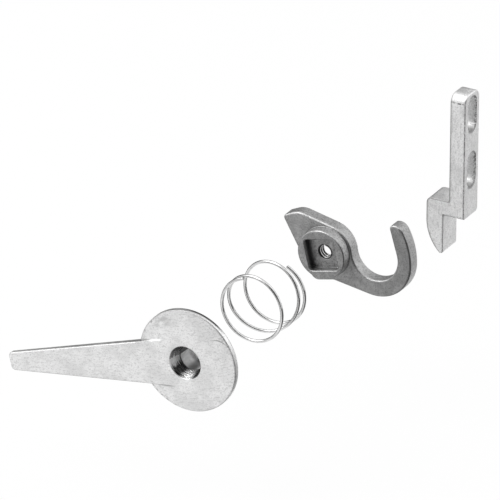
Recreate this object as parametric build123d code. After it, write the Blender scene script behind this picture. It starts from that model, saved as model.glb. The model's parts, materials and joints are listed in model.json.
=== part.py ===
from build123d import *
from math import atan2, acos, cos, degrees, hypot, radians, sin
import os

# Screen door lock, laid out in a row along its pivot: lever, spring, hook, and the jamb keeper beside it.
# Millimetres. X runs across the door towards the jamb, Y through the door from front to back, Z up.
# The origin is on the pivot axis, at the seat for the screw's head in the lever's counterbore.
# Depths along Y are first laid out from the disc's flat back, and moved to the origin at the end.

# Pivot and key, shared by the lever and the hook
key_angle = 13.7            # the arm, the square shank and the square recess are all turned by this
shank_side = 9.7
shank_corner = 0.9
key_clearance = 0.15        # per side, between the shank and the recess
screw_clearance_radius = 2.55   # clearance hole for a number 10 machine screw
screw_major_radius = 2.415      # thread of the same screw, in the hook

# Lever: a domed disc with a tapered arm in front and a square shank behind
disc_radius = 15.875        # 1-1/4 inch across
rim_thickness = 1.6
hub_thickness = 3.05
hub_flat_radius = 6.5
rim_edge_radius = 0.35
shank_length = 9.6
shank_end_chamfer = 0.4
counterbore_mouth_radius = 5.15
counterbore_lip = 0.3
ledge_depth = 4.2           # where the turned mouth ends and the cast bore behind it starts
ledge_radius = 4.1
ledge_width = 0.15
seat_radius = 3.8           # the screw's head clamps here, near the shank's end
counterbore_depth = 10.0
arm_length = 60.9           # from the pivot to the end of the arm
arm_root_width = 14.0
arm_root_place = 9.0        # distance from the pivot where the root width is measured
arm_tip_width = 5.4
arm_root_thickness = 2.2
arm_tip_thickness = 1.6
arm_tip_radius = 1.3
arm_edge_radius = 0.35

# Spring: round wire, one closed turn at each end and an open turn between them
wire_radius = 0.5
coil_radius = 10.0
coil_turns = 2.89
coil_start_angle = 16.0     # of the front end, from the top, towards the arm
closed_pitch = 0.3          # rise per turn where the end turns lie flat
open_rise = 13.1
open_from = 0.64            # in turns from the front end
open_turns = 1.6
coil_points_per_turn = 12
spring_front = 35.9         # first centre of wire, behind the disc's back

# Hook: a plate with a round boss, a tail above and a J-shaped arm towards the jamb
plate_front = 80.9          # front of the plate, behind the disc's back
boss_radius = 7.9
boss_height = 3.4
boss_edge_radius = 0.45
plate_thickness = 4.6
plate_edge_radius = 0.6
hub_radius = 8.6
recess_depth = 2.8
recess_corner = 1.0
recess_mouth_radius = 0.3
thread_length = 3.4         # the back is relieved round the hole, which leaves this much thread
relief_radius = 4.6
relief_edge = 0.3
tail_back = (209.6, 8.95)   # straight sides: the way each one faces, and its distance from the pivot
tail_end = (115.4, 13.95)
tail_top_normal = 78.2
heel_bottom = (283.7, 9.4)
claw_tip = (95.0, 11.6)
claw_inner_normal = 16.3
tail_tip_radius = 1.2
tail_corner_radius = 6.0
heel_radius = 2.5
heel_hollow_radius = 1.5
claw_inner_radius = 1.2
claw_outer_radius = 3.0
throat_centre = (16.2, 1.9)     # inside of the J
bend_centre = (16.4, 1.1)       # outside of the J
bend_radius = 12.1
claw_back_radius = 22.0         # easier curve up the back of the claw

# Keeper: a slotted bar on the jamb, with a tongue and a finger that the hook catches
bar_left = 41.95
bar_thickness = 4.95
bar_width = 9.0
bar_bottom = 21.9
bar_top = 61.5
bar_corner_radius = 2.8     # of the bar's two top corners
bar_foot_radius = 1.2       # of its two bottom corners
slot_width = 5.5
slot_length = 11.5
slot_heights = (36.9, 54.8)
tongue_top = 26.9
tongue_corner_radius = 1.6
finger_left = 34.55
finger_thickness = 5.6
finger_bottom = 8.7
finger_curve_from = 20.0    # height where the finger's back starts to curve in
finger_tip_radius = 0.8
keeper_edge_radius = 0.4

pivot = Axis.Y
overrun = 1.0               # how far a cutting shape runs past what it cuts
same_place = 0.01           # sizes and places nearer than this are the same
hook_front = plate_front - boss_height
hook_mid = plate_front + plate_thickness / 2
keeper_front = hook_mid - bar_width / 2
recess_side = shank_side + 2 * key_clearance
bar_right = bar_left + bar_thickness
finger_right = finger_left + finger_thickness


def facing_front(y, turn=0):
    """Drawing plane across the pivot at a depth y, seen from the front: X right, Z up."""
    return Plane(origin=(0, y, 0), x_dir=(cos(radians(turn)), 0, sin(radians(turn))), z_dir=(0, -1, 0))


def on_circle(centre, radius, angle):
    """Point of a circle at an angle from X."""
    return (centre[0] + radius * cos(radians(angle)), centre[1] + radius * sin(radians(angle)))


def corner(normal_1, distance_1, normal_2, distance_2):
    """Crossing of two straight sides, each given by the way it faces and its distance from the pivot."""
    a, b = radians(normal_1), radians(normal_2)
    turn = sin(b - a)
    x = (distance_1 * sin(b) - distance_2 * sin(a)) / turn
    z = (distance_2 * cos(a) - distance_1 * cos(b)) / turn
    return (x, z)


def side_distance(normal, point):
    """Distance from the pivot of a side that faces the normal and passes through the point."""
    return point[0] * cos(radians(normal)) + point[1] * sin(radians(normal))


def make_lever():
    with BuildPart() as lever:
        # Domed disc, flat behind
        with BuildSketch(Plane.XY):
            with BuildLine():
                Polyline((hub_flat_radius, -hub_thickness), (0, -hub_thickness), (0, 0),
                         (disc_radius, 0), (disc_radius, -rim_thickness))
                TangentArc((hub_flat_radius, -hub_thickness), (disc_radius, -rim_thickness), tangent=(1, 0))
            make_face()
        revolve(axis=pivot)
        rim = lever.edges().filter_by(GeomType.CIRCLE).sort_by(lambda edge: edge.radius)[-2:]
        fillet(rim, rim_edge_radius)

        # Arm, with a flat face and a back that thins towards the end
        slope = (arm_root_width - arm_tip_width) / 2 / (arm_length - arm_root_place)
        pivot_half_width = arm_root_width / 2 + slope * arm_root_place
        with BuildPart(mode=Mode.PRIVATE) as arm:
            with BuildSketch(facing_front(-hub_thickness, key_angle)):
                with BuildLine():
                    Polyline((0, -pivot_half_width), (-arm_length, -arm_tip_width / 2),
                             (-arm_length, arm_tip_width / 2), (0, pivot_half_width), close=True)
                make_face()
            extrude(amount=-arm_root_thickness)
            ends = arm.edges().filter_by(Axis.Y).sort_by(lambda edge: edge.center().X)[:2]
            fillet(ends, arm_tip_radius)
            along = Plane(origin=(0, 0, 0), x_dir=(cos(radians(key_angle)), 0, sin(radians(key_angle))),
                          z_dir=(-sin(radians(key_angle)), 0, cos(radians(key_angle))))
            with BuildSketch(along):
                with BuildLine():
                    root_back = -hub_thickness + arm_root_thickness
                    tip_back = -hub_thickness + arm_tip_thickness
                    past_tip = -arm_length - overrun
                    Polyline((overrun, -hub_thickness), (overrun, root_back), (-arm_root_place, root_back),
                             (past_tip, tip_back), (past_tip, -hub_thickness), close=True)
                make_face()
            extrude(amount=arm_root_width, both=True, mode=Mode.INTERSECT)
            face = arm.faces().sort_by(Axis.Y)[0]
            outer_edges = [edge for edge in face.edges() if edge.center().X < -disc_radius]
            fillet(outer_edges, arm_edge_radius)
        add(arm.part)

        # Square shank behind the disc
        with BuildSketch(facing_front(0, key_angle)):
            RectangleRounded(shank_side, shank_side, shank_corner)
        extrude(amount=-shank_length)
        end = lever.faces().sort_by(Axis.Y)[-1]
        chamfer(end.edges(), shank_end_chamfer)

        # Counterbore for the screw's head, and the screw's clearance hole
        seat = -hub_thickness + counterbore_depth
        ledge = -hub_thickness + ledge_depth
        with BuildSketch(Plane.XY):
            with BuildLine():
                mouth = counterbore_mouth_radius
                front = -hub_thickness - overrun
                back = shank_length + overrun
                Polyline((mouth, -hub_thickness), (ledge_radius, ledge), (ledge_radius - ledge_width, ledge),
                         (seat_radius, seat), (screw_clearance_radius, seat), (screw_clearance_radius, back),
                         (0, back), (0, front), (mouth, front), close=True)
            make_face()
        revolve(axis=pivot, mode=Mode.SUBTRACT)
        lip = lever.edges().filter_by(GeomType.CIRCLE).filter_by(
            lambda edge: abs(edge.radius - counterbore_mouth_radius) < same_place)
        fillet(lip, counterbore_lip)
    return lever.part


def wire_place(turn):
    """Centre of the wire at a number of turns from the front end."""
    opening = min(max((turn - open_from) / open_turns, 0), 1)
    depth = closed_pitch * turn + open_rise * opening ** 2 * (3 - 2 * opening)
    angle = radians(coil_start_angle + 360 * turn)
    return (-coil_radius * sin(angle), spring_front + depth, coil_radius * cos(angle))


def make_spring():
    count = round(coil_turns * coil_points_per_turn)
    centre_line = Spline([wire_place(coil_turns * step / count) for step in range(count + 1)])
    section = Plane(centre_line @ 0, z_dir=centre_line % 0) * Circle(wire_radius)
    return sweep(section, path=centre_line)


def hook_outline():
    """Sides of the hook's plate, clockwise from the heel, and the corners to be rounded with their radii."""
    hub = (0, 0)
    to_throat = degrees(atan2(throat_centre[1], throat_centre[0]))
    throat_radius = hypot(*throat_centre) - hub_radius
    to_bend = degrees(atan2(bend_centre[1], bend_centre[0]))
    under_normal = to_bend - degrees(acos((hub_radius - bend_radius) / hypot(*bend_centre)))
    heel = corner(*heel_bottom, *tail_back)
    heel_hollow = corner(*heel_bottom, under_normal, hub_radius)
    tail_tip = corner(*tail_back, *tail_end)
    tail_corner = corner(*tail_end, tail_top_normal, hub_radius)
    tail_foot = on_circle(hub, hub_radius, tail_top_normal)
    claw_start = on_circle(throat_centre, throat_radius, claw_inner_normal)
    claw_inside = corner(claw_inner_normal, side_distance(claw_inner_normal, claw_start), *claw_tip)
    back_centre = (bend_centre[0] + bend_radius - claw_back_radius, bend_centre[1])
    tip_rise = claw_tip[1] - side_distance(claw_tip[0], back_centre)
    tip_angle = claw_tip[0] - degrees(acos(tip_rise / claw_back_radius))
    claw_outside = on_circle(back_centre, claw_back_radius, tip_angle)
    bend_foot = on_circle(bend_centre, bend_radius, under_normal)
    with BuildLine() as outline:
        Polyline(heel_hollow, heel, tail_tip, tail_corner, tail_foot)
        CenterArc(hub, hub_radius, to_throat, tail_top_normal - to_throat)
        CenterArc(throat_centre, throat_radius, to_throat + 180, claw_inner_normal + 180 - to_throat)
        Polyline(claw_start, claw_inside, claw_outside)
        CenterArc(back_centre, claw_back_radius, 0, tip_angle)
        CenterArc(bend_centre, bend_radius, under_normal, -under_normal)
        Line(bend_foot, heel_hollow)
    rounded = [(heel, heel_radius), (heel_hollow, heel_hollow_radius),
               (tail_tip, tail_tip_radius), (tail_corner, tail_corner_radius),
               (claw_inside, claw_inner_radius), (claw_outside, claw_outer_radius)]
    return outline.line, rounded


def make_hook():
    plate_back = plate_front + plate_thickness
    sides, rounded = hook_outline()
    with BuildPart() as hook:
        with BuildSketch(facing_front(plate_front)) as plate:
            with BuildLine():
                add(sides)
            make_face()
            for place, radius in rounded:
                nearest = plate.vertices().sort_by(lambda v: hypot(v.X - place[0], v.Y - place[1]))[0]
                fillet(nearest, radius)
        extrude(amount=-plate_thickness)
        fillet(hook.faces().filter_by(Axis.Y).edges(), plate_edge_radius)

        # Round boss in front
        with BuildSketch(facing_front(plate_front)):
            Circle(boss_radius)
        extrude(amount=boss_height)
        boss_edges = hook.edges().filter_by(GeomType.CIRCLE).filter_by(
            lambda edge: abs(edge.radius - boss_radius) < same_place)
        fillet(boss_edges.sort_by(Axis.Y)[0], boss_edge_radius)

        # Square recess for the shank, and the threaded hole through its floor
        with BuildSketch(facing_front(hook_front, key_angle)):
            RectangleRounded(recess_side, recess_side, recess_corner)
        extrude(amount=-recess_depth, mode=Mode.SUBTRACT)
        mouth = hook.faces().sort_by(Axis.Y)[0].inner_wires()[0]
        fillet(mouth.edges(), recess_mouth_radius)
        floor = hook_front + recess_depth
        with BuildSketch(facing_front(floor)):
            Circle(screw_major_radius)
        extrude(amount=-(plate_back - floor), mode=Mode.SUBTRACT)

        # Round relief behind the thread
        with BuildSketch(facing_front(plate_back)):
            Circle(relief_radius)
        extrude(amount=plate_back - floor - thread_length, mode=Mode.SUBTRACT)
        chamfer(hook.faces().sort_by(Axis.Y)[-1].inner_wires()[0].edges(), relief_edge)
    return hook.part


def make_keeper():
    middle = keeper_front + bar_width / 2
    with BuildPart() as keeper:
        # Bar, with its two top corners rounded
        with BuildSketch(Plane(origin=(bar_left, middle, 0), x_dir=(0, 1, 0), z_dir=(1, 0, 0))) as face:
            with Locations((0, (bar_top + bar_bottom) / 2)):
                Rectangle(bar_width, bar_top - bar_bottom)
            fillet(face.vertices().sort_by(Axis.Y)[-2:], bar_corner_radius)
        extrude(amount=bar_thickness)

        # Tongue and finger, one profile through the keeper's width
        with BuildSketch(facing_front(keeper_front)):
            with BuildLine():
                reach = finger_curve_from - finger_bottom
                curve_radius = (reach ** 2 + finger_thickness ** 2) / (2 * finger_thickness)
                finger_tip = (finger_right, finger_bottom)
                Polyline(finger_tip, (finger_right, bar_bottom), (bar_right, bar_bottom),
                         (bar_right, tongue_top), (finger_left, tongue_top),
                         (finger_left, finger_curve_from))
                RadiusArc((finger_left, finger_curve_from), finger_tip, -curve_radius)
            make_face()
        extrude(amount=-bar_width)
        uprights = keeper.edges().filter_by(Axis.Y)
        top_corner = uprights.sort_by(lambda edge: hypot(edge.center().X - finger_left,
                                                         edge.center().Z - tongue_top))[0]
        fillet(top_corner, tongue_corner_radius)
        tip = keeper.edges().filter_by(Axis.Y).sort_by(Axis.Z)[0]
        fillet(tip, finger_tip_radius)
        foot = keeper.edges().filter_by(Axis.X).filter_by(
            lambda edge: abs(edge.center().Z - bar_bottom) < same_place)
        fillet(foot, bar_foot_radius)

        # Outer edges, broken all round but where the rounded corners meet the straight sides
        corner_foot = bar_top - bar_corner_radius
        foot_top = bar_bottom + bar_foot_radius
        flanks = keeper.faces().filter_by(Axis.Y).edges().filter_by(
            lambda edge: min(abs(edge.center().Z - end) for end in (corner_foot, foot_top)) > same_place)
        top = keeper.faces().filter_by(Axis.X).edges().filter_by(
            lambda edge: edge.center().Z > corner_foot + same_place)
        fillet(flanks + top, keeper_edge_radius)

        # Screw slots
        for height in slot_heights:
            with BuildSketch(Plane(origin=(bar_left, middle, height), x_dir=(0, 0, 1), z_dir=(1, 0, 0))):
                SlotOverall(slot_length, slot_width)
            extrude(amount=bar_thickness, mode=Mode.SUBTRACT)
    return keeper.part


os.makedirs("parts", exist_ok=True)
nodes = {
    "lever": make_lever(),
    "spring": make_spring(),
    "hook": make_hook(),
    "keeper": make_keeper(),
}
seat_depth = counterbore_depth - hub_thickness
for name, piece in nodes.items():
    export_step(Pos(0, -seat_depth, 0) * piece, f"parts/{name}.step")
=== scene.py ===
import json
from math import cos, pi, radians, sin

import bpy
from bpy.props import FloatProperty, FloatVectorProperty, PointerProperty
from bpy.types import Operator, Panel, PropertyGroup
from mathutils import Matrix, Vector


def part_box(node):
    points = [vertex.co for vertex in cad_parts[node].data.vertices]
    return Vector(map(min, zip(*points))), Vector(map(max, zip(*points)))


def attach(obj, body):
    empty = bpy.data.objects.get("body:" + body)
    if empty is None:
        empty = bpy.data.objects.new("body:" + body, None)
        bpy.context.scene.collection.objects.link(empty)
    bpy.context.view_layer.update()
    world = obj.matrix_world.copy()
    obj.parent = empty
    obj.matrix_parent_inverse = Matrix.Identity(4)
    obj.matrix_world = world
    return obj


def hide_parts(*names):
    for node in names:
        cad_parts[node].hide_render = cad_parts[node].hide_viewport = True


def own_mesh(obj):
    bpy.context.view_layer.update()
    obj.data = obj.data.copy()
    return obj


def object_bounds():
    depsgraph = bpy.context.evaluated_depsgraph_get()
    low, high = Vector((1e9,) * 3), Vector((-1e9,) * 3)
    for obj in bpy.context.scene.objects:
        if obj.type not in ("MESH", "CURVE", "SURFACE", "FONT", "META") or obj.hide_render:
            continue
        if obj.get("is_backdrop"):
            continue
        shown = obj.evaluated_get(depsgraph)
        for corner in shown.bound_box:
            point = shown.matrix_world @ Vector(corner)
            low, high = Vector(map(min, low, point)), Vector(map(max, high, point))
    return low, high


bl_info = {
    "name": "Screen Door Lock",
    "version": (1, 0, 0),
    "blender": (4, 5, 0),
    "location": "3D View > Sidebar > Door Lock",
    "description": "Dresses the four pieces of a screen door lock, and sets the studio round them",
    "category": "Object",
}

# Metres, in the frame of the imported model: X towards the jamb, Y along the pivot from front to back, Z up.
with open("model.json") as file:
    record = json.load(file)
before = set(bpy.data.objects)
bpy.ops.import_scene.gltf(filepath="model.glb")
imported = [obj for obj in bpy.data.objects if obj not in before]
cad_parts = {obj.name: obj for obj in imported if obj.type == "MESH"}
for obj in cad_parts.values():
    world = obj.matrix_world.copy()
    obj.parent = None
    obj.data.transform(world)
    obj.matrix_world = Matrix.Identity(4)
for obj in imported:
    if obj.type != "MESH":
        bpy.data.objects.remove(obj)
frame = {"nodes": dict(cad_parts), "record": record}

MM = 0.001
WHITE = (1, 1, 1, 1)

spring_low, spring_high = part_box("spring")
lever_low, lever_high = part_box("lever")
keeper_low, keeper_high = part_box("keeper")
mounts = {mount["name"]: mount for mount in frame["record"]["mounts"]}

# Marks and finishes that the photograph shows, and painted light and shade, by place. Their borders are
# soft: a pair of places says where a border starts and where it ends.

# Lever's arm and disc
ARM_TURN = radians(13.7)                # the arm's line, from X towards Z
ARM_HALF_WIDTH = 7.75 * MM              # at the pivot
ARM_TAPER = 0.083                       # lost per side and unit of length
ARM_LEAVES_HUB = (-4.5 * MM, -7.5 * MM)     # along the arm's line
ARM_LEAVES_DISC = (-14 * MM, -17 * MM)      # along the arm's line
LEVER_FACE = (lever_low.y + 0.5 * MM, lever_low.y + 0.9 * MM)
DISC_BACK = lever_low.y + 3.05 * MM
RIM_RADIUS = lever_high.x
RIM_FRONT_HALF = (DISC_BACK - 1.0 * MM, DISC_BACK - 0.6 * MM)
RIM_FROM = (12 * MM, 13 * MM)           # distance from the pivot
# Painted shade on the side of the rim.
RIM_SHADE_BAND = (radians(70), radians(30), radians(12))   # its middle, reach and core round the rim
SMUDGE_PLACE = (-9.5 * MM, 11.2 * MM)   # X and Z on the disc
SMUDGE_REACH = (6.5 * MM, 4 * MM)       # in X and Z
SCRATCH_TOP = (10 * MM, 9.35 * MM)      # X and Z on the disc
SCRATCH_BEND = 1 / (8 * MM)
SCRATCH_SPAN = (SCRATCH_TOP[0] + 0.8 * MM, 4 * MM)      # its middle and reach in X

# Lever's counterbore. Painted bands of light and shade go round the pivot: middle, reach, core in degrees,
# shade.
BORE_RADIUS = 5.15 * MM
SHANK_BORE = 4.45 * MM                  # between the counterbore and the flats of the square shank
SEAT_RADIUS = 3.8 * MM
SEAT_BACK = (0.1 * MM, 0.3 * MM)        # just behind the seat of the screw's head, which is at Y 0
LEDGE_PLACE = lever_low.y + 4.2 * MM    # the counterbore is turned bright down to here
TO_WHITE = 1.39                         # shade that takes the lever's plating up to white
TURNED_BANDS = ((130, 60, 18, 0.3), (-130, 38, 8, 0.02), (-34, 50, 18, 0.06), (-86, 28, 6, TO_WHITE))
DEEP_BANDS = ((160, 60, 15, 0.35), (-95, 34, 4, 0.6))
BAND_STREAKS = radians(70)              # how far the turning lines shift the bands, from end to end
GLINT_OPPOSITE = radians(14)            # the glint lies straight across the pivot from here
GLINT_REACH = (radians(6), radians(24))
GLINT_DEPTH = (lever_low.y + 2 * MM, lever_low.y + 3.5 * MM)
RING_PITCH = 0.35 * MM

# Hook and its thread
BOSS_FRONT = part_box("hook")[0].y
HEEL = (-3 * MM, -11 * MM)              # in X
HOOK_ARM = (2 * MM, 16 * MM)            # in X
THREAD_MIDDLE = Vector(mounts["hook_thread"]["pos_m"])
THREAD_RADIUS = mounts["hook_thread"]["dims"]["r_mm"] * MM
THREAD_LENGTH = mounts["hook_thread"]["dims"]["length_mm"] * MM
THREAD_FRONT = THREAD_MIDDLE.y - THREAD_LENGTH / 2      # the floor of the square recess
THREAD_BACK = THREAD_MIDDLE.y + THREAD_LENGTH / 2
RECESS_HALF = 5 * MM
RECESS_CORNERS = (7.2 * MM, 7.5 * MM)   # distance from the pivot, just outside the corners

# Keeper
KEEPER_ROUND = 2.3 * MM                 # height of the bar's rounded top
FINGER_TOP = (keeper_low.z + 10 * MM, keeper_low.z + 12 * MM)
TONGUE_TOP = 26.9 * MM
SLOTS_MIDDLE = Vector(mounts["keeper_screws"]["pos_m"])
SLOTS_APART = mounts["keeper_screws"]["dims"]["spacing_y_mm"] * MM
SLOT_HALF = mounts["keeper_screws"]["dims"]["slot_length_mm"] / 2 * MM
SLOT_RADIUS = mounts["keeper_screws"]["dims"]["hole_r_mm"] * MM


class LockSpring(PropertyGroup):
    """Sizes of the coil spring."""
    wire_radius: FloatProperty(
        name="Wire radius", description="Half the thickness of the spring's wire",
        default=0.5 * MM, min=0.1 * MM, unit="LENGTH", precision=5)
    turns: FloatProperty(
        name="Turns", description="Number of turns from one end of the wire to the other",
        default=2.89, min=1.5)
    start_angle: FloatProperty(
        name="Start angle", description="Place of the wire's front end, from the top towards the arm",
        default=radians(16), subtype="ANGLE", unit="ROTATION")
    closed_pitch: FloatProperty(
        name="Closed pitch", description="Rise of one turn where the end turns lie flat",
        default=0.3 * MM, min=0, unit="LENGTH", precision=5)
    open_from: FloatProperty(
        name="Open from", description="Turn at which the coil starts to open",
        default=0.64, min=0)
    open_turns: FloatProperty(
        name="Open turns", description="Number of turns over which the coil opens",
        default=1.6, min=0.1)
    pressed_length: FloatProperty(
        name="Pressed length", description="Length of the spring when the hook is drawn to the lever",
        default=10.4 * MM, min=1 * MM, unit="LENGTH", precision=5)


class LockThread(PropertyGroup):
    """Sizes of the thread in the hook."""
    pitch: FloatProperty(
        name="Pitch", description="Rise of one turn of the thread, 24 to the inch",
        default=25.4 * MM / 24, min=0.3 * MM, unit="LENGTH", precision=5)
    height: FloatProperty(
        name="Height", description="Height of the thread's ridge inside the hole",
        default=0.5 * MM, min=0.1 * MM, unit="LENGTH", precision=5)
    crest: FloatProperty(
        name="Crest", description="Width of the flat on top of the ridge, as a share of the pitch",
        default=0.22, min=0.05, max=0.5, subtype="FACTOR")
    foot: FloatProperty(
        name="Foot", description="Width of the ridge where it meets the wall, as a share of the pitch",
        default=0.86, min=0.5, max=0.95, subtype="FACTOR")


class LockFinish(PropertyGroup):
    """Colours and gloss of the lock's metals."""
    lever_colour: FloatVectorProperty(
        name="Lever", description="Colour of the lever's bright satin plating",
        default=(0.73, 0.73, 0.73), subtype="COLOR", min=0, max=1)
    keeper_colour: FloatVectorProperty(
        name="Keeper", description="Colour of the keeper's bright satin plating",
        default=(0.78, 0.78, 0.78), subtype="COLOR", min=0, max=1)
    plating_roughness: FloatProperty(
        name="Plating roughness", description="How much the satin plating spreads what it reflects",
        default=0.32, min=0, max=1, subtype="FACTOR")
    keeper_roughness: FloatProperty(
        name="Keeper roughness", description="How much the keeper's plating spreads what it reflects",
        default=0.4, min=0, max=1, subtype="FACTOR")
    hook_colour: FloatVectorProperty(
        name="Hook", description="Colour of the hook's dull casting",
        default=(0.3, 0.3, 0.3), subtype="COLOR", min=0, max=1)
    hook_roughness: FloatProperty(
        name="Hook roughness", description="How much the hook's casting spreads what it reflects",
        default=0.42, min=0, max=1, subtype="FACTOR")
    wire_colour: FloatVectorProperty(
        name="Spring", description="Colour of the spring's bright wire",
        default=(0.74, 0.74, 0.74), subtype="COLOR", min=0, max=1)
    wire_roughness: FloatProperty(
        name="Wire roughness", description="How much the spring's wire spreads what it reflects",
        default=0.14, min=0, max=1, subtype="FACTOR")


class LockStudio(PropertyGroup):
    """Camera, lamps and floor."""
    azimuth: FloatProperty(
        name="Azimuth", description="How far the camera stands to the keeper's side of the pivot's line",
        default=radians(29.5), subtype="ANGLE", unit="ROTATION")
    elevation: FloatProperty(
        name="Elevation", description="How far the camera looks down",
        default=radians(26.1), subtype="ANGLE", unit="ROTATION")
    camera_place: FloatVectorProperty(
        name="Camera place", description="Where the camera stands",
        default=(0.7704, -1.33375, 0.7864), subtype="TRANSLATION", unit="LENGTH")
    lens: FloatProperty(
        name="Lens", description="Focal length in millimetres, on a sensor 36 mm wide",
        default=432, min=10)
    floor_gap: FloatProperty(
        name="Floor gap", description="Height of the lowest piece above the floor",
        default=30 * MM, min=0, unit="LENGTH", precision=4)
    lamp_power: FloatProperty(
        name="Lamp power", description="Power of the large soft lamp, in watts",
        default=7, min=0)
    back_lamp_power: FloatProperty(
        name="Back lamp power", description="Power of the soft lamp behind the lock, in watts",
        default=1.8, min=0)


class LockSettings(PropertyGroup):
    """Everything a user may change."""
    spring: PointerProperty(type=LockSpring)
    thread: PointerProperty(type=LockThread)
    finish: PointerProperty(type=LockFinish)
    studio: PointerProperty(type=LockStudio)


class Nodes:
    """Short ways to add nodes to one tree."""

    def __init__(self, tree):
        self.tree = tree

    def put(self, socket, value):
        """Gives a socket a value or a link."""
        if isinstance(value, bpy.types.NodeSocket):
            self.tree.links.new(value, socket)
        else:
            socket.default_value = value

    def node(self, kind, **inputs):
        """New node, with its inputs given as numbers or other nodes' outputs."""
        made = self.tree.nodes.new(kind)
        for name, value in inputs.items():
            self.put(made.inputs[name.replace("_", " ")], value)
        return made

    def math(self, operation, *values):
        """Result of one operation on one, two or three values."""
        made = self.node("ShaderNodeMath")
        made.operation = operation
        for socket, value in zip(made.inputs, values):
            self.put(socket, value)
        return made.outputs[0]

    def carry(self, value, start, end, at_start, at_end):
        """A value carried smoothly from one range to another, and level beyond it."""
        made = self.node("ShaderNodeMapRange", Value=value, From_Min=start, From_Max=end,
                         To_Min=at_start, To_Max=at_end)
        made.interpolation_type = "SMOOTHSTEP"
        return made.outputs["Result"]

    def rise(self, value, start, end):
        """Mask that is 0 at the start and 1 at the end."""
        return self.carry(value, start, end, 0.0, 1.0)

    def fall(self, value, start, end):
        """Mask that is 1 at the start and 0 at the end."""
        return self.carry(value, start, end, 1.0, 0.0)

    def away(self, value, middle):
        """How far a value is from the middle."""
        return self.math("ABSOLUTE", self.math("SUBTRACT", value, middle))

    def near(self, value, middle, reach, core=0.0):
        """1 within the core on both sides of the middle, falling to 0 at the reach."""
        return self.fall(self.away(value, middle), core, reach)

    def overlap(self, mask, *others):
        """Where all of the masks are 1."""
        for other in others:
            mask = self.math("MULTIPLY", mask, other)
        return mask

    def outside(self, mask):
        """Where a mask is 0."""
        return self.math("SUBTRACT", 1.0, mask)

    def diagonal(self, first, second):
        """Length of the diagonal of two distances."""
        squares = self.math("ADD", self.math("POWER", first, 2.0), self.math("POWER", second, 2.0))
        return self.math("SQRT", squares)

    def towards(self, direction, target):
        """How nearly a direction points at a target: about 1 straight at it, and 0 square to it."""
        made = self.node("ShaderNodeVectorMath")
        made.operation = "DOT_PRODUCT"
        self.put(made.inputs[0], direction)
        self.put(made.inputs[1], target)
        return made.outputs["Value"]

    def seen_directly(self):
        """1 for what the camera sees, also mirrored in metal, and 0 for light that falls on the pieces."""
        rays = self.node("ShaderNodeLightPath").outputs
        seen = self.math("MAXIMUM", rays["Is Camera Ray"], rays["Is Glossy Ray"])
        return self.math("MAXIMUM", seen, rays["Is Transmission Ray"])

    def mix_shaders(self, share, first, second):
        """Two shaders mixed, with a share of the second."""
        made = self.node("ShaderNodeMixShader", Fac=share)
        self.put(made.inputs[1], first.outputs[0])
        self.put(made.inputs[2], second.outputs[0])
        return made.outputs[0]


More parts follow.
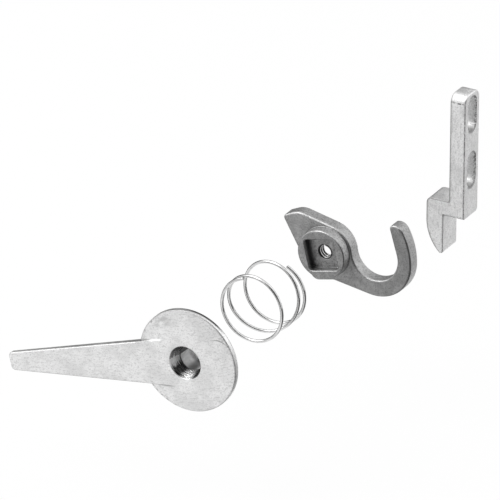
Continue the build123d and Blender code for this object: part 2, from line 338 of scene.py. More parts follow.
class Metal(Nodes):
    """One metal's material, built up from a plain colour by layers of tint, gloss and relief."""

    def __init__(self, name, colour, roughness, metallic):
        self.material = bpy.data.materials.new(name)
        self.material.use_nodes = True
        super().__init__(self.material.node_tree)
        self.shader = self.tree.nodes["Principled BSDF"]
        self.base = tuple(colour) + (1.0,)
        self.colour = self.base
        self.roughness = roughness
        self.metallic = metallic
        self.normal = None
        coordinates = self.node("ShaderNodeTexCoord")
        self.place = coordinates.outputs["Object"]
        self.x, self.y, self.z = self.node("ShaderNodeSeparateXYZ", Vector=self.place).outputs
        facing = self.node("ShaderNodeSeparateXYZ", Vector=coordinates.outputs["Normal"])
        self.facing_back = facing.outputs["Y"]

    def radius(self):
        """Distance from the pivot."""
        return self.diagonal(self.x, self.z)

    def angle(self):
        """Direction from the pivot in radians, from -pi to pi, 0 towards the jamb and pi / 2 upwards."""
        return self.math("ARCTAN2", self.z, self.x)

    def slanted(self, turn):
        """Distance from the pivot along a line turned from X towards Z."""
        share_of_x = self.math("MULTIPLY", self.x, cos(turn))
        share_of_z = self.math("MULTIPLY", self.z, sin(turn))
        return self.math("ADD", share_of_x, share_of_z)

    def clouds(self, size, detail=4.0, roughness=0.6, length=1.0, turn=0.0):
        """Cloudy pattern with patches of about a size, drawn out along X or a line turned from it."""
        drawn = self.node("ShaderNodeMapping", Vector=self.place,
                          Rotation=(0, -turn, 0), Scale=(length, 1, 1))
        drawn.vector_type = "TEXTURE"
        made = self.node("ShaderNodeTexNoise", Vector=drawn.outputs["Vector"],
                         Scale=1 / size, Detail=detail, Roughness=roughness)
        return made.outputs["Fac"]

    def turning_lines(self, width, length):
        """Fine lines that run round the counterbore, each about a length long."""
        round_pivot = self.math("MULTIPLY", self.angle(), BORE_RADIUS * width / length)
        place = self.node("ShaderNodeCombineXYZ", X=round_pivot, Y=self.y)
        made = self.node("ShaderNodeTexNoise", Vector=place.outputs["Vector"], Scale=1 / width, Detail=2.0)
        return made.outputs["Fac"]

    def inner_corners(self, reach):
        """Inner corners of the piece, as a mask that fades over the reach."""
        made = self.node("ShaderNodeAmbientOcclusion", Distance=reach)
        made.samples = 8
        return self.fall(made.outputs["AO"], 0.55, 0.95)

    def mix(self, kind, share, first, second):
        """Two colours or two numbers mixed, with a share of the second."""
        made = self.tree.nodes.new("ShaderNodeMix")
        made.data_type = kind
        socket_type = {"RGBA": "RGBA", "FLOAT": "VALUE"}[kind]
        first_end, second_end = [socket for socket in made.inputs if socket.type == socket_type][-2:]
        self.put(made.inputs["Factor"], share)
        self.put(first_end, first)
        self.put(second_end, second)
        return next(socket for socket in made.outputs if socket.type == socket_type)

    def tint(self, mask, shade, share=1.0):
        """Moves the colour towards a lighter or darker shade of the plain one where the mask is 1."""
        target = tuple(min(channel * shade, 1.0) for channel in self.base[:3]) + (1.0,)
        self.colour = self.mix("RGBA", self.math("MULTIPLY", mask, share), self.colour, target)

    def gloss(self, mask, roughness):
        """Moves the roughness towards another where the mask is 1."""
        self.roughness = self.mix("FLOAT", mask, self.roughness, roughness)

    def dull(self, mask, metallic):
        """Moves the metal towards a duller one, which spreads light all round, where the mask is 1."""
        self.metallic = self.mix("FLOAT", mask, self.metallic, metallic)

    def rounding(self, radius):
        """Direction of the surface with its edges rounded off, and how far it faces right, back and up."""
        made = self.node("ShaderNodeBevel", Radius=radius)
        made.samples = 8
        turned = self.node("ShaderNodeVectorTransform", Vector=made.outputs["Normal"])
        turned.vector_type = "NORMAL"
        turned.convert_from, turned.convert_to = "WORLD", "OBJECT"
        right, back, up = self.node("ShaderNodeSeparateXYZ", Vector=turned.outputs["Vector"]).outputs
        return made.outputs["Normal"], right, back, up

    def round_edges(self, radius):
        """Edges that catch the light as if worn round, and masks of the front ones by where they face."""
        self.normal, right, back, up = self.rounding(radius)
        front_edge = self.overlap(self.rise(back, -0.97, -0.85), self.rise(back, -0.2, -0.45))
        up_and_left = self.math("MULTIPLY_ADD", right, -0.5, up)
        right_and_down = self.math("SUBTRACT", right, up)
        self.edge_up = self.overlap(front_edge, self.rise(up_and_left, 0.1, 0.45))
        self.edge_down = self.overlap(front_edge, self.rise(up, -0.1, -0.4))
        self.edge_right = self.overlap(front_edge, self.rise(right_and_down, 0.1, 0.4))

    def relief(self, height, depth):
        """Fine bumps of a depth."""
        made = self.node("ShaderNodeBump", Height=height, Distance=depth)
        if self.normal is not None:
            self.put(made.inputs["Normal"], self.normal)
        self.normal = made.outputs["Normal"]

    def finish(self):
        """Joins the layers to the shader."""
        self.put(self.shader.inputs["Base Color"], self.colour)
        self.put(self.shader.inputs["Roughness"], self.roughness)
        self.put(self.shader.inputs["Metallic"], self.metallic)
        if self.normal is not None:
            self.put(self.shader.inputs["Normal"], self.normal)
        return self.material


def satin_plating(name, colour, roughness, grain_turn, edge_radius):
    """Satin plating over a tumbled casting: soft clouds, fine streaks of the grain and small dark pits."""
    metal = Metal(name, colour, roughness, metallic=0.9)
    clouds = metal.clouds(size=6 * MM, detail=5)
    streaks = metal.clouds(size=0.5 * MM, detail=3, length=3.5, turn=grain_turn)
    pits = metal.clouds(size=0.45 * MM, detail=3, roughness=0.7)
    metal.tint(metal.rise(clouds, 0.38, 0.62), shade=1.18)
    metal.tint(metal.rise(streaks, 0.5, 0.66), shade=0.8, share=0.7)
    metal.tint(metal.rise(pits, 0.5, 0.7), shade=0.7, share=0.8)
    metal.gloss(metal.rise(clouds, 0.35, 0.65), roughness + 0.08)
    metal.round_edges(edge_radius)
    metal.relief(clouds, depth=0.15 * MM)
    metal.relief(streaks, depth=0.03 * MM)
    metal.relief(pits, depth=0.04 * MM)
    # Painted shade in the inner corners.
    metal.tint(metal.inner_corners(reach=0.8 * MM), shade=0.35, share=0.9)
    return metal


def lever_metal(finish):
    """The lever's plating, with a marked disc, and painted light and shade on its creased arm, rim and
    turned counterbore.
    """
    metal = satin_plating("lever_plating", finish.lever_colour, finish.plating_roughness,
                          grain_turn=ARM_TURN, edge_radius=0.45 * MM)
    front_half = metal.fall(metal.y, *RIM_FRONT_HALF)
    crease_arm(metal)
    smudge_disc(metal, front_half)
    scratch_disc(metal, front_half)
    shade_rim(metal, front_half)
    turn_counterbore(metal)
    return metal.finish()


def crease_arm(metal):
    """Painted shade along the crease below the arm's face, and a painted highlight along the one above."""
    along = metal.slanted(ARM_TURN)
    across = metal.slanted(ARM_TURN + pi / 2)
    half_width = metal.math("MULTIPLY_ADD", along, ARM_TAPER, ARM_HALF_WIDTH)
    past_side = metal.math("SUBTRACT", metal.math("ABSOLUTE", across), half_width)
    crease = metal.overlap(metal.near(past_side, 0.1 * MM, reach=0.45 * MM),
                           metal.rise(along, *ARM_LEAVES_HUB), metal.fall(metal.y, *LEVER_FACE))
    below = metal.rise(across, 0.0, -1 * MM)
    # Painted shade below the arm's face, and a painted highlight above it.
    metal.tint(metal.overlap(crease, below), shade=0.45, share=0.9)
    metal.tint(metal.overlap(crease, metal.outside(below)), shade=1.35, share=0.9)


def smudge_disc(metal, front_half):
    """Cloudy smudge on the disc, above the arm."""
    patches = metal.rise(metal.clouds(size=1.2 * MM, length=3, turn=0.6), 0.25, 0.7)
    smudge = metal.overlap(metal.near(metal.x, SMUDGE_PLACE[0], SMUDGE_REACH[0]),
                           metal.near(metal.z, SMUDGE_PLACE[1], SMUDGE_REACH[1]), patches, front_half)
    metal.tint(smudge, shade=0.5, share=0.85)


def scratch_disc(metal, front_half):
    """Curved scratch on the disc, on the jamb's side."""
    sideways = metal.math("SUBTRACT", metal.x, SCRATCH_TOP[0])
    upwards = metal.math("SUBTRACT", metal.z, SCRATCH_TOP[1])
    curve = metal.math("MULTIPLY_ADD", metal.math("POWER", sideways, 2.0), SCRATCH_BEND, upwards)
    scratch = metal.overlap(metal.near(curve, 0.0, reach=0.3 * MM),
                            metal.near(metal.x, *SCRATCH_SPAN), front_half)
    metal.tint(scratch, shade=0.4, share=0.9)


def shade_rim(metal, front_half):
    """Painted shade on the rim's back half, and rougher edges with painted shade round the disc and on the
    arm.
    """
    rim = metal.rise(metal.radius(), RIM_RADIUS - 0.3 * MM, RIM_RADIUS - 0.1 * MM)
    rim_shade = metal.overlap(metal.near(metal.angle(), *RIM_SHADE_BAND), metal.outside(front_half))
    # Painted shade on the rim's side.
    metal.tint(metal.overlap(rim, rim_shade), shade=0.12)

    spared_on_arm = 0.55
    on_arm = metal.rise(metal.slanted(ARM_TURN), *ARM_LEAVES_DISC)
    by_rim = metal.math("MULTIPLY_ADD", on_arm, -spared_on_arm, metal.rise(metal.radius(), *RIM_FROM))
    # Painted shade on the front edges round the disc, partly spared on the arm, and on the arm's lower edge.
    metal.tint(metal.overlap(metal.edge_right, by_rim), shade=0.6, share=0.4)
    metal.tint(metal.overlap(metal.edge_up, by_rim), shade=0.6, share=0.6)
    either_edge = metal.math("MAXIMUM", metal.edge_right, metal.edge_up)
    metal.gloss(metal.overlap(either_edge, by_rim), roughness=0.65)
    metal.tint(metal.overlap(on_arm, metal.edge_down), shade=0.5, share=0.8)


def turn_counterbore(metal):
    """Counterbore for the screw's head, painted up to white: turned bright down to a ledge, and dull behind
    it.
    """
    in_disc = metal.overlap(metal.fall(metal.radius(), BORE_RADIUS - 0.1 * MM, BORE_RADIUS + 0.1 * MM),
                            metal.fall(metal.y, DISC_BACK - 0.3 * MM, DISC_BACK - 0.1 * MM))
    in_shank = metal.overlap(metal.fall(metal.radius(), SHANK_BORE, SHANK_BORE + 0.2 * MM),
                             metal.fall(metal.y, *SEAT_BACK))
    bore = metal.math("MAXIMUM", in_disc, in_shank)
    deep = metal.overlap(bore, metal.rise(metal.y, LEDGE_PLACE + 0.1 * MM, LEDGE_PLACE + 0.2 * MM))
    off_axis = metal.rise(metal.radius(), SEAT_RADIUS - 0.2 * MM, SEAT_RADIUS - 0.1 * MM)
    deep_wall = metal.overlap(deep, off_axis)
    turned = metal.overlap(bore, metal.fall(metal.y, LEDGE_PLACE, LEDGE_PLACE + 0.1 * MM))

    metal.gloss(bore, roughness=0.45)
    # Painted light: the counterbore's colour taken up to white, with painted bands of shade on its deep
    # wall.
    metal.tint(bore, TO_WHITE)
    shade_bands(metal, deep_wall, metal.angle(), DEEP_BANDS)
    metal.gloss(deep, roughness=0.7)
    polish_and_shade_mouth(metal, turned)
    # Painted dark line of shade at the ledge.
    metal.tint(metal.overlap(bore, metal.near(metal.y, LEDGE_PLACE, reach=0.3 * MM)), shade=0.2)
    rings = metal.math("SINE", metal.math("MULTIPLY", metal.y, 2 * pi / RING_PITCH))
    metal.relief(metal.overlap(rings, turned), depth=0.04 * MM)


def polish_and_shade_mouth(metal, turned):
    """Turned mouth of the counterbore: streaky bands of painted light and shade, a painted glint, fine
    turning lines.
    """
    metal.gloss(turned, roughness=0.2)
    metal.tint(turned, shade=1.0)
    streaks = metal.turning_lines(width=0.35 * MM, length=6 * MM)
    middle = metal.math("SUBTRACT", metal.angle(), BAND_STREAKS / 2)
    direction = metal.math("MULTIPLY_ADD", streaks, BAND_STREAKS, middle)
    # Painted bands of light and shade round the mouth.
    shade_bands(metal, turned, direction, TURNED_BANDS)

    # Painted glint, taken up to white.
    from_glint = metal.math("SUBTRACT", pi, metal.away(direction, GLINT_OPPOSITE))
    glint = metal.overlap(turned, metal.fall(from_glint, *GLINT_REACH))
    metal.tint(glint, TO_WHITE)
    metal.gloss(glint, roughness=0.5)
    metal.dull(metal.overlap(glint, metal.fall(metal.y, *GLINT_DEPTH)), metallic=0.0)

    spared_on_glint = 0.7
    off_glint = metal.math("MULTIPLY_ADD", glint, -spared_on_glint, turned)
    lines = metal.rise(metal.turning_lines(width=0.3 * MM, length=2.5 * MM), 0.42, 0.6)
    metal.tint(metal.overlap(off_glint, lines), shade=0.3, share=0.6)


def shade_bands(metal, mask, direction, bands):
    """Paints bands of light and shade on a mask, each by its direction from the pivot."""
    for middle, reach, core, shade in bands:
        band = metal.near(direction, radians(middle), radians(reach), radians(core))
        metal.tint(metal.overlap(mask, band), shade)


def keeper_metal(finish):
    """The keeper's plating, flecked all over, with painted shade on its corners and painted light and shade
    in its rough slots.
    """
    metal = satin_plating("keeper_plating", finish.keeper_colour, finish.keeper_roughness,
                          grain_turn=pi / 2, edge_radius=0.32 * MM)
    flecks = metal.clouds(size=0.35 * MM, detail=2, roughness=0.8)
    metal.tint(metal.rise(flecks, 0.5, 0.7), shade=0.65, share=0.8)
    metal.relief(flecks, depth=0.06 * MM)
    breaks = metal.rise(metal.clouds(size=0.7 * MM), 0.47, 0.6)
    darken_corners(metal, breaks)
    shade_slots(metal, flecks, breaks)
    return metal.finish()


def darken_corners(metal, breaks):
    """Painted shade along the keeper's corners, and a broken painted dark line below its rounded top."""
    on_bar = metal.carry(metal.z, *FINGER_TOP, 0.25, 1.0)
    # Painted shade in broken lines along the edges that face right, fainter on the finger.
    metal.gloss(metal.edge_right, roughness=0.75)
    metal.tint(metal.overlap(metal.edge_right, breaks, on_bar), shade=0.5, share=0.8)

    right, back = metal.rounding(radius=1.1 * MM)[1:3]
    # Painted shade along the left edges.
    left_edge = metal.overlap(metal.rise(right, -0.05, -0.4), metal.rise(back, -0.25, -0.6))
    metal.tint(left_edge, shade=0.35, share=0.9)
    metal.gloss(left_edge, roughness=0.6)

    on_tongue = metal.fall(metal.z, TONGUE_TOP + 1 * MM, TONGUE_TOP + 2 * MM)
    tongue_corner = metal.overlap(metal.edge_up, on_tongue)
    # Painted shade on the tongue's upper front corner.
    metal.tint(tongue_corner, shade=0.4, share=0.9)
    metal.gloss(tongue_corner, roughness=0.7)

    front = metal.fall(metal.y, keeper_low.y + 0.1 * MM, keeper_low.y + 0.5 * MM)
    below_round = metal.near(metal.z, keeper_high.z - KEEPER_ROUND, reach=0.4 * MM)
    # Painted dark line below the rounded top.
    metal.tint(metal.overlap(front, below_round, breaks), shade=0.15)


def shade_slots(metal, flecks, breaks):
    """Flecked walls of the screw slots, painted lighter, with painted shade at the back and at the rougher
    lower ends.
    """
    along = metal.math("SUBTRACT", metal.away(metal.z, SLOTS_MIDDLE.z), SLOTS_APART / 2)
    past_straight = metal.math("SUBTRACT", metal.math("ABSOLUTE", along), SLOT_HALF - SLOT_RADIUS)
    across = metal.math("SUBTRACT", metal.y, SLOTS_MIDDLE.y)
    from_slot = metal.diagonal(across, metal.math("MAXIMUM", past_straight, 0.0))
    in_slot = metal.fall(from_slot, SLOT_RADIUS + 0.03 * MM, SLOT_RADIUS + 0.08 * MM)
    # Painted light on the slots' walls.
    metal.tint(in_slot, shade=1.1)
    metal.tint(metal.overlap(in_slot, metal.rise(flecks, 0.42, 0.62)), shade=0.75, share=0.8)
    at_back = metal.rise(metal.x, keeper_high.x - 1.5 * MM, keeper_high.x - 0.2 * MM)
    # Painted shade, broken, at the back of the slots.
    metal.tint(metal.overlap(in_slot, at_back, breaks), shade=0.3)

    lower_ends = [metal.near(metal.z, SLOTS_MIDDLE.z + side * SLOTS_APART / 2 - SLOT_HALF, reach=1.6 * MM)
                  for side in (1, -1)]
    mouth = metal.near(from_slot, SLOT_RADIUS, reach=0.7 * MM)
    dark_ends = metal.overlap(metal.math("ADD", *lower_ends), metal.math("MAXIMUM", in_slot, mouth))
    # Painted shade at the lower ends, on the walls and round the mouths.
    metal.tint(dark_ends, shade=0.45)
    metal.gloss(dark_ends, roughness=0.6)


def hook_metal(finish):
    """The hook's dull casting: sides painted lighter, a lighter heel, worn up-facing edges with a painted
    highlight, and painted shade on the edges that face right, in the inner corners and in the recess.
    """
    metal = Metal("dull_casting", finish.hook_colour, finish.hook_roughness, metallic=0.8)
    clouds = metal.clouds(size=3 * MM, detail=6, roughness=0.65)
    grain = metal.clouds(size=0.5 * MM, detail=4, roughness=0.7)
    sides = metal.fall(metal.math("ABSOLUTE", metal.facing_back), 0.25, 0.6)
    faces = metal.outside(sides)
    # Painted light on the sides.
    metal.tint(sides, shade=1.6, share=0.8)
    metal.tint(metal.rise(clouds, 0.4, 0.65), shade=1.5, share=0.8)
    metal.tint(metal.rise(grain, 0.48, 0.66), shade=0.4, share=0.75)
    metal.tint(metal.overlap(faces, metal.rise(metal.x, *HEEL)), shade=1.9, share=0.3)
    metal.tint(metal.overlap(faces, metal.rise(metal.x, *HOOK_ARM)), shade=0.6, share=0.3)
    # Painted shade in the inner corners.
    metal.tint(metal.inner_corners(reach=0.6 * MM), shade=0.3, share=0.8)
    metal.round_edges(radius=0.5 * MM)
    # Up-facing front edges, worn bright in patches and painted as a highlight.
    worn = metal.overlap(metal.edge_up, metal.carry(metal.clouds(size=2 * MM), 0.3, 0.55, 0.35, 1.0))
    metal.tint(worn, shade=2.0, share=0.85)
    metal.gloss(worn, roughness=0.34)
    # Painted shade on the front edges that face right.
    metal.tint(metal.edge_right, shade=0.35, share=0.75)
    # Painted shadow in the square recess.
    metal.tint(recess_shadow(metal), shade=0.26)
    metal.relief(clouds, depth=0.3 * MM)
    metal.relief(grain, depth=0.1 * MM)
    return metal.finish()


def recess_shadow(metal):
    """Mask of the painted shadow on the square recess's wall on the side of the lever's arm, fading onto its
    floor.
    """
    at_wall = metal.fall(metal.slanted(ARM_TURN), -RECESS_HALF + 0.05 * MM, -RECESS_HALF + 1.1 * MM)
    inside = metal.overlap(metal.rise(metal.y, BOSS_FRONT + 0.3 * MM, BOSS_FRONT + 1.6 * MM),
                           metal.fall(metal.y, THREAD_FRONT + 0.05 * MM, THREAD_FRONT + 0.2 * MM))
    return metal.overlap(at_wall, metal.fall(metal.radius(), *RECESS_CORNERS), inside)


def thread_metal(finish):
    """Cut metal of the thread, with a painted highlight on its crests and painted shade in its roots."""
    metal = Metal("cut_thread", finish.hook_colour, roughness=0.28, metallic=0.9)
    crest = metal.fall(metal.radius(), THREAD_RADIUS - 0.5 * MM, THREAD_RADIUS - 0.25 * MM)
    # Painted highlight on the crests, and painted shade in the roots.
    metal.tint(crest, shade=2.2)
    metal.tint(metal.outside(crest), shade=0.15)
    return metal.finish()


def wire_metal(finish):
    """Bright drawn wire, with faint lines along its turns."""
    metal = Metal("bright_wire", finish.wire_colour, finish.wire_roughness, metallic=1.0)
    patches = metal.rise(metal.clouds(size=2 * MM), 0.35, 0.65)
    metal.tint(patches, shade=0.85)
    metal.gloss(patches, finish.wire_roughness + 0.08)
    line_width = 0.12 * MM
    draw_marks = metal.math("SINE", metal.math("MULTIPLY", metal.radius(), 2 * pi / line_width))
    metal.relief(draw_marks, depth=0.002 * MM)
    return metal.finish()


def paint(node_name, material):
    """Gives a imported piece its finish."""
    for slot in frame["nodes"][node_name].material_slots:
        slot.material = material


def new_piece(name, points, faces, material, sharp_angle):
    """New mesh object, smooth but for corners sharper than the angle."""
    mesh = bpy.data.meshes.new(name)
    mesh.from_pydata(points, [], faces)
    mesh.validate()
    mesh.shade_smooth()
    mesh.set_sharp_from_angle(angle=sharp_angle)
    mesh.materials.append(material)
    piece = bpy.data.objects.new(name, mesh)
    bpy.context.scene.collection.objects.link(piece)
    return piece


def tube_faces(rings, sides):
    """Faces of a closed tube with so many rings of points, and its two ends."""
    walls = [(ring * sides + side, (ring + 1) * sides + side,
              (ring + 1) * sides + (side + 1) % sides, ring * sides + (side + 1) % sides)
             for ring in range(rings - 1) for side in range(sides)]
    front = tuple(range(sides))
    back = tuple(reversed(range((rings - 1) * sides, rings * sides)))
    return walls + [front, back]


class SpringShape:
    """The coil's centre line: flat turns at both ends, and open between them."""

    def __init__(self, sizes):
        self.sizes = sizes
        self.front = spring_low.y + sizes.wire_radius
        self.rise = spring_high.y - spring_low.y - 2 * sizes.wire_radius
        self.radius = (spring_high.z - spring_low.z) / 2 - sizes.wire_radius

    def centre(self, turn):
        """Centre of the wire at a number of turns from its front end."""
        opening = min(max((turn - self.sizes.open_from) / self.sizes.open_turns, 0), 1)
        open_rise = self.rise - self.sizes.closed_pitch * self.sizes.turns
        depth = self.sizes.closed_pitch * turn + open_rise * opening ** 2 * (3 - 2 * opening)
        angle = self.sizes.start_angle + 2 * pi * turn
        return Vector((-self.radius * sin(angle), self.front + depth, self.radius * cos(angle)))

    def ring(self, turn, radius, sides):
        """Points round the wire, square to its run."""
        step = 0.001
        centre = self.centre(turn)
        run = (self.centre(turn + step) - self.centre(turn - step)).normalized()
        outward = Vector((centre.x, 0, centre.z)).normalized()
        outward = (outward - run * outward.dot(run)).normalized()
        across = run.cross(outward)
        angles = [2 * pi * side / sides for side in range(sides)]
        return [centre + radius * (outward * cos(angle) + across * sin(angle)) for angle in angles]


class DOORLOCK_OT_lever(Operator):
    """Give the lever its bright satin plating"""
    bl_idname = "door_lock.lever"
    bl_label = "Lever"
    bl_options = {"REGISTER", "UNDO"}

    def execute(self, context):
        paint("lever", lever_metal(context.scene.door_lock.finish))
        return {"FINISHED"}


class DOORLOCK_OT_spring(Operator):
    """Wind the spring of round wire"""
    bl_idname = "door_lock.spring"
    bl_label = "Spring"
    bl_options = {"REGISTER", "UNDO"}

    sides = 24
    rings_per_turn = 72

    def execute(self, context):
        settings = context.scene.door_lock
        sizes = settings.spring
        shape = SpringShape(sizes)
        steps = round(sizes.turns * self.rings_per_turn)
        points = []
        for step in range(steps + 1):
            points += shape.ring(sizes.turns * step / steps, sizes.wire_radius, self.sides)
        wire = new_piece("spring_wire", points, tube_faces(steps + 1, self.sides),
                         wire_metal(settings.finish), sharp_angle=radians(50))
        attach(wire, "spring_body")
        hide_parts("spring")
        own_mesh(wire)
        return {"FINISHED"}


class DOORLOCK_OT_hook(Operator):
    """Give the hook its dull cast finish, and cut the thread in its hole"""
    bl_idname = "door_lock.hook"
    bl_label = "Hook"
    bl_options = {"REGISTER", "UNDO"}

    steps_per_turn = 48
    sunk = 0.03 * MM        # depth of the ridge's foot in the hole's wall

    def execute(self, context):
        settings = context.scene.door_lock
        paint("hook", hook_metal(settings.finish))
        thread = new_piece("hook_thread", *self.ridge(settings.thread),
                           thread_metal(settings.finish), sharp_angle=radians(40))
        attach(thread, "hook_body")
        return {"FINISHED"}

    def ridge(self, sizes):
        """Points and faces of the right-handed ridge, cut off flat at both ends of the hole."""
        foot_radius = THREAD_RADIUS + self.sunk
        crest_radius = THREAD_RADIUS - sizes.height
        profile = [(-sizes.foot / 2, foot_radius), (-sizes.crest / 2, crest_radius),
                   (sizes.crest / 2, crest_radius), (sizes.foot / 2, foot_radius)]
        turns = THREAD_LENGTH / sizes.pitch
        steps = round(turns * self.steps_per_turn)
        points = []
        for step in range(steps + 1):
            angle = 2 * pi * turns * step / steps
            middle = THREAD_FRONT + THREAD_LENGTH * step / steps
            for along, radius in profile:
                depth = min(max(middle + along * sizes.pitch, THREAD_FRONT), THREAD_BACK)
                points.append(Vector((radius * sin(angle), depth, radius * cos(angle))))
        return points, tube_faces(steps + 1, len(profile))


class DOORLOCK_OT_keeper(Operator):
    """Give the keeper its bright satin plating"""
    bl_idname = "door_lock.keeper"
    bl_label = "Keeper"
    bl_options = {"REGISTER", "UNDO"}

    def execute(self, context):
        paint("keeper", keeper_metal(context.scene.door_lock.finish))
        return {"FINISHED"}


class DOORLOCK_OT_studio(Operator):
    """Set the white floor, the soft light and the camera"""
    bl_idname = "door_lock.studio"
    bl_label = "Studio"
    bl_options = {"REGISTER", "UNDO"}

    # Floor. Only the metal sees its two dark parts: a sector to the front right, and a part to the left.
    floor_half = 4.0
    floor_colour = (0.85, 0.85, 0.85, 1)
    floor_white = 0.92
    dark_share = 0.97
    sector_centre = (20 * MM, 40 * MM)
    sector_start = (radians(12), radians(32))
    sector_end = (radians(160), radians(108))
    left_across = (-25 * MM, -50 * MM)
    left_behind = (-8 * MM, 12 * MM)

    # Surroundings, which only the metal sees. A border's two sides are given as heights, or as nearness to a
    # direction, and the light is given for each side.
    ceiling_height = (0.25, 0.85)
    ceiling_light = (0.08, 1.1)
    dark_wall = (-0.7, 0.7, 0)
    wall_reach = (0.8, 0.3)
    wall_light = (0.0, 0.9)
    dark_window = (0.44, -0.78, 0.44)
    window_reach = (0.72, 0.88)
    window_light = (1.0, 0.03)

    key_lamp_side = (-0.6, -0.35, 0.75)
    back_lamp_side = (0.5, 0.72, 0.48)
    lamp_distance = 1.1
    lamp_size = 0.9

    sensor_width = 36       # millimetres
    camera_clip = (0.1, 20)

    def execute(self, context):
        studio = context.scene.door_lock.studio
        self.make_floor(studio)
        self.make_world(context.scene)
        self.make_lamp("key_lamp", self.key_lamp_side, studio.lamp_power)
        self.make_lamp("back_lamp", self.back_lamp_side, studio.back_lamp_power)
        self.make_camera(context.scene, studio)
        context.scene.view_settings.view_transform = "Standard"
        return {"FINISHED"}

    def make_floor(self, studio):
        """Plain floor, which shines white where the camera or the metal sees it, but for its dark parts."""
        material = bpy.data.materials.new("white_floor")
        material.use_nodes = True
        nodes = Nodes(material.node_tree)
        nodes.tree.nodes.clear()
        plain = nodes.node("ShaderNodeBsdfDiffuse", Color=self.floor_colour)
        white = nodes.node("ShaderNodeEmission", Strength=self.sweep(nodes))
        share = nodes.math("MULTIPLY", nodes.seen_directly(), self.floor_white)
        nodes.node("ShaderNodeOutputMaterial", Surface=nodes.mix_shaders(share, plain, white))

        half = self.floor_half
        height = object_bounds()[0].z - studio.floor_gap
        corners = [(-half, -half, height), (half, -half, height),
                   (half, half, height), (-half, half, height)]
        floor = new_piece("floor", corners, [(0, 1, 2, 3)], material, sharp_angle=radians(30))
        floor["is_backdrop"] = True

    def sweep(self, nodes):
        """How white the floor shines: 1 to the camera, and to the metal almost 0 in the two dark parts."""
        place = nodes.node("ShaderNodeTexCoord").outputs["Object"]
        across, behind = nodes.node("ShaderNodeSeparateXYZ", Vector=place).outputs[:2]
        to_right = nodes.math("SUBTRACT", across, self.sector_centre[0])
        to_front = nodes.math("SUBTRACT", self.sector_centre[1], behind)
        from_front = nodes.math("ARCTAN2", to_right, to_front)
        sector = nodes.overlap(nodes.rise(from_front, *self.sector_start),
                               nodes.rise(from_front, *self.sector_end))
        left = nodes.overlap(nodes.rise(across, *self.left_across), nodes.rise(behind, *self.left_behind))
        camera_ray = nodes.node("ShaderNodeLightPath").outputs["Is Camera Ray"]
        dark = nodes.overlap(nodes.math("MAXIMUM", sector, left), nodes.outside(camera_ray))
        return nodes.outside(nodes.math("MULTIPLY", dark, self.dark_share))

    def make_world(self, scene):
        """White for the camera; for the metal, a bright ceiling and walls, a dark wall and a dark window."""
        world = bpy.data.worlds.new("soft_studio")
        world.use_nodes = True
        nodes = Nodes(world.node_tree)
        nodes.tree.nodes.clear()
        direction = nodes.node("ShaderNodeTexCoord").outputs["Generated"]
        upwards = nodes.node("ShaderNodeSeparateXYZ", Vector=direction).outputs["Z"]
        to_wall = nodes.towards(direction, self.dark_wall)
        to_window = nodes.towards(direction, self.dark_window)
        ceiling = nodes.carry(upwards, *self.ceiling_height, *self.ceiling_light)
        walls = nodes.carry(to_wall, *self.wall_reach, *self.wall_light)
        window = nodes.carry(to_window, *self.window_reach, *self.window_light)
        light = nodes.overlap(nodes.math("MAXIMUM", ceiling, walls), window)
        surroundings = nodes.node("ShaderNodeBackground", Color=WHITE, Strength=light)
        white = nodes.node("ShaderNodeBackground", Color=WHITE)
        camera_ray = nodes.node("ShaderNodeLightPath").outputs["Is Camera Ray"]
        nodes.node("ShaderNodeOutputWorld", Surface=nodes.mix_shaders(camera_ray, surroundings, white))
        scene.world = world

    def make_lamp(self, name, side, power):
        """Large soft lamp on one side of the lock, which faces its middle."""
        light = bpy.data.lights.new(name, "AREA")
        light.shape = "SQUARE"
        light.size = self.lamp_size
        light.energy = power
        lamp = bpy.data.objects.new(name, light)
        low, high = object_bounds()
        direction = Vector(side).normalized()
        lamp.location = (low + high) / 2 + direction * self.lamp_distance
        lamp.rotation_mode = "QUATERNION"
        lamp.rotation_quaternion = direction.to_track_quat("Z", "Y")
        lamp.visible_camera = False
        bpy.context.scene.collection.objects.link(lamp)

    def make_camera(self, scene, studio):
        """Camera at the photograph's angle."""
        sideways, down = studio.azimuth, studio.elevation
        back = Vector((sin(sideways) * cos(down), -cos(sideways) * cos(down), sin(down)))
        right = Vector((cos(sideways), sin(sideways), 0))
        up = back.cross(right)
        data = bpy.data.cameras.new("photo_camera")
        data.sensor_width = self.sensor_width
        data.lens = studio.lens
        data.clip_start, data.clip_end = self.camera_clip
        camera = bpy.data.objects.new("photo_camera", data)
        camera.rotation_mode = "QUATERNION"
        camera.rotation_quaternion = Matrix((right, up, back)).transposed().to_quaternion()
        camera.location = studio.camera_place
        scene.collection.objects.link(camera)
        scene.camera = camera


class DOORLOCK_PT_panel(Panel):
    """Buttons and settings of the lock, in the sidebar"""
    bl_idname = "DOORLOCK_PT_panel"
    bl_label = "Door Lock"
    bl_space_type = "VIEW_3D"
    bl_region_type = "UI"
    bl_category = "Door Lock"

    def draw(self, context):
        layout = self.layout
        settings = context.scene.door_lock
        for step in STEPS:
            layout.operator(step.bl_idname)
        for title, group in (("Spring", settings.spring), ("Thread", settings.thread),
                             ("Finish", settings.finish), ("Studio", settings.studio)):
            box = layout.box()
            box.label(text=title)
            for name in group.__annotations__:
                box.prop(group, name)


STEPS = (DOORLOCK_OT_lever, DOORLOCK_OT_spring, DOORLOCK_OT_hook, DOORLOCK_OT_keeper, DOORLOCK_OT_studio)
CLASSES = (LockSpring, LockThread, LockFinish, LockStudio, LockSettings, *STEPS, DOORLOCK_PT_panel)


def register():
    for made in CLASSES:
        bpy.utils.register_class(made)
    bpy.types.Scene.door_lock = PointerProperty(type=LockSettings)


def unregister():
    del bpy.types.Scene.door_lock
    for made in reversed(CLASSES):
        bpy.utils.unregister_class(made)


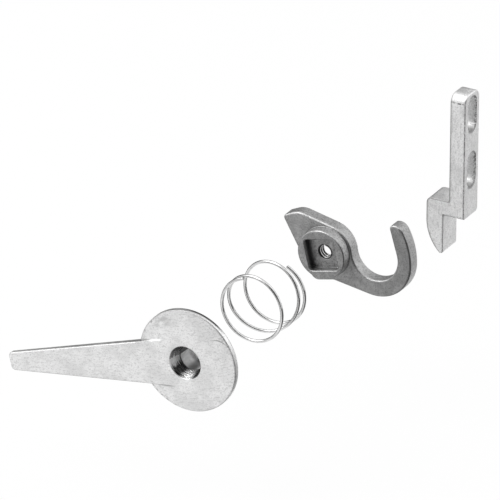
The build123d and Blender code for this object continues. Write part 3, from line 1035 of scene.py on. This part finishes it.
def main():
    """Builds the dressed lock and its studio."""
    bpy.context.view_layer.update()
    register()
    bpy.ops.door_lock.lever()
    bpy.ops.door_lock.spring()
    bpy.ops.door_lock.hook()
    bpy.ops.door_lock.keeper()
    bpy.ops.door_lock.studio()


if __name__ == "__main__":
    main()
